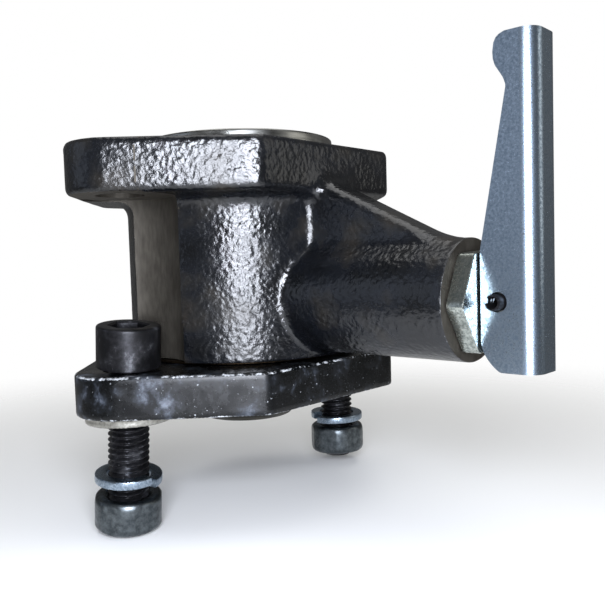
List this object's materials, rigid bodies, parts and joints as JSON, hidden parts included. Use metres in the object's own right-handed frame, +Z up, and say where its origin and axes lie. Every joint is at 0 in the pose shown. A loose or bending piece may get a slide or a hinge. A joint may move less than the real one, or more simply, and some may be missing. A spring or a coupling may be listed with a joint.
{
  "type": "bench vise swivel head",
  "caption": "Cast swivel head for a bench vise: flanges joined by a hub, a side boss with a spring plunger, and a cam lever that pulls it out.",
  "frame": {"origin": "on the swivel axis, in the plane of the lower flange's cast underside", "axes": "+Z up the swivel axis; +X along the plunger boss, towards the lever; the two bench screws lie on the Y axis"},
  "size_m": [0.1444, 0.123, 0.1293],
  "materials": {
    "black_paint": "gloss black paint over a rough casting, scuffed along the edges",
    "machined_steel": "bare turned and milled metal, dull, slightly oiled",
    "black_oxide": "black-oxide steel, satin, rubbed on the edges",
    "zinc": "dull grey-green zinc plate",
    "bright_zinc": "bright bluish zinc plate",
    "bronze": "turned bearing bronze",
    "spring_steel": "oiled spring steel"
  },
  "bodies": {
    "base": {"lower_flange": "black_paint", "hub": "machined_steel", "hub_screw_1": "black_oxide", "hub_screw_2": "black_oxide", "hub_screw_3": "black_oxide", "left_screw": "black_oxide", "left_spring_washer": "bright_zinc", "left_nut": "zinc", "right_screw": "black_oxide", "right_spring_washer": "bright_zinc", "right_nut": "zinc", "thrust_washer": "bronze", "retaining_ring": "spring_steel"},
    "head": {"housing": "black_paint", "top_ring": "machined_steel", "plug": "zinc", "lower_bush": "bronze", "upper_bush": "bronze"},
    "plunger": {"plunger": "machined_steel", "plunger_spring": "spring_steel", "lever_pin": "black_oxide"},
    "lever": {"lever": "bright_zinc"}
  },
  "joints": [
    {"name": "swivel", "type": "hinge", "parent": "base", "child": "head", "pos_m": [0, 0, 0], "axis": [0, 0, 1], "range_deg": [-55, 55]},
    {"name": "plunger_slide", "type": "slide", "parent": "head", "child": "plunger", "axis": [1, 0, 0], "range_m": [0, 0.015], "deforming": ["plunger_spring"]},
    {"name": "lever_cam", "type": "hinge", "parent": "plunger", "child": "lever", "pos_m": [0.0949, 0, 0.0305], "axis": [0, 1, 0], "range_deg": [0, 90]}
  ],
  "couplings": [
    {"joint": "plunger_slide", "follows": "lever_cam", "m_per_rad": 0.0095492}
  ]
}
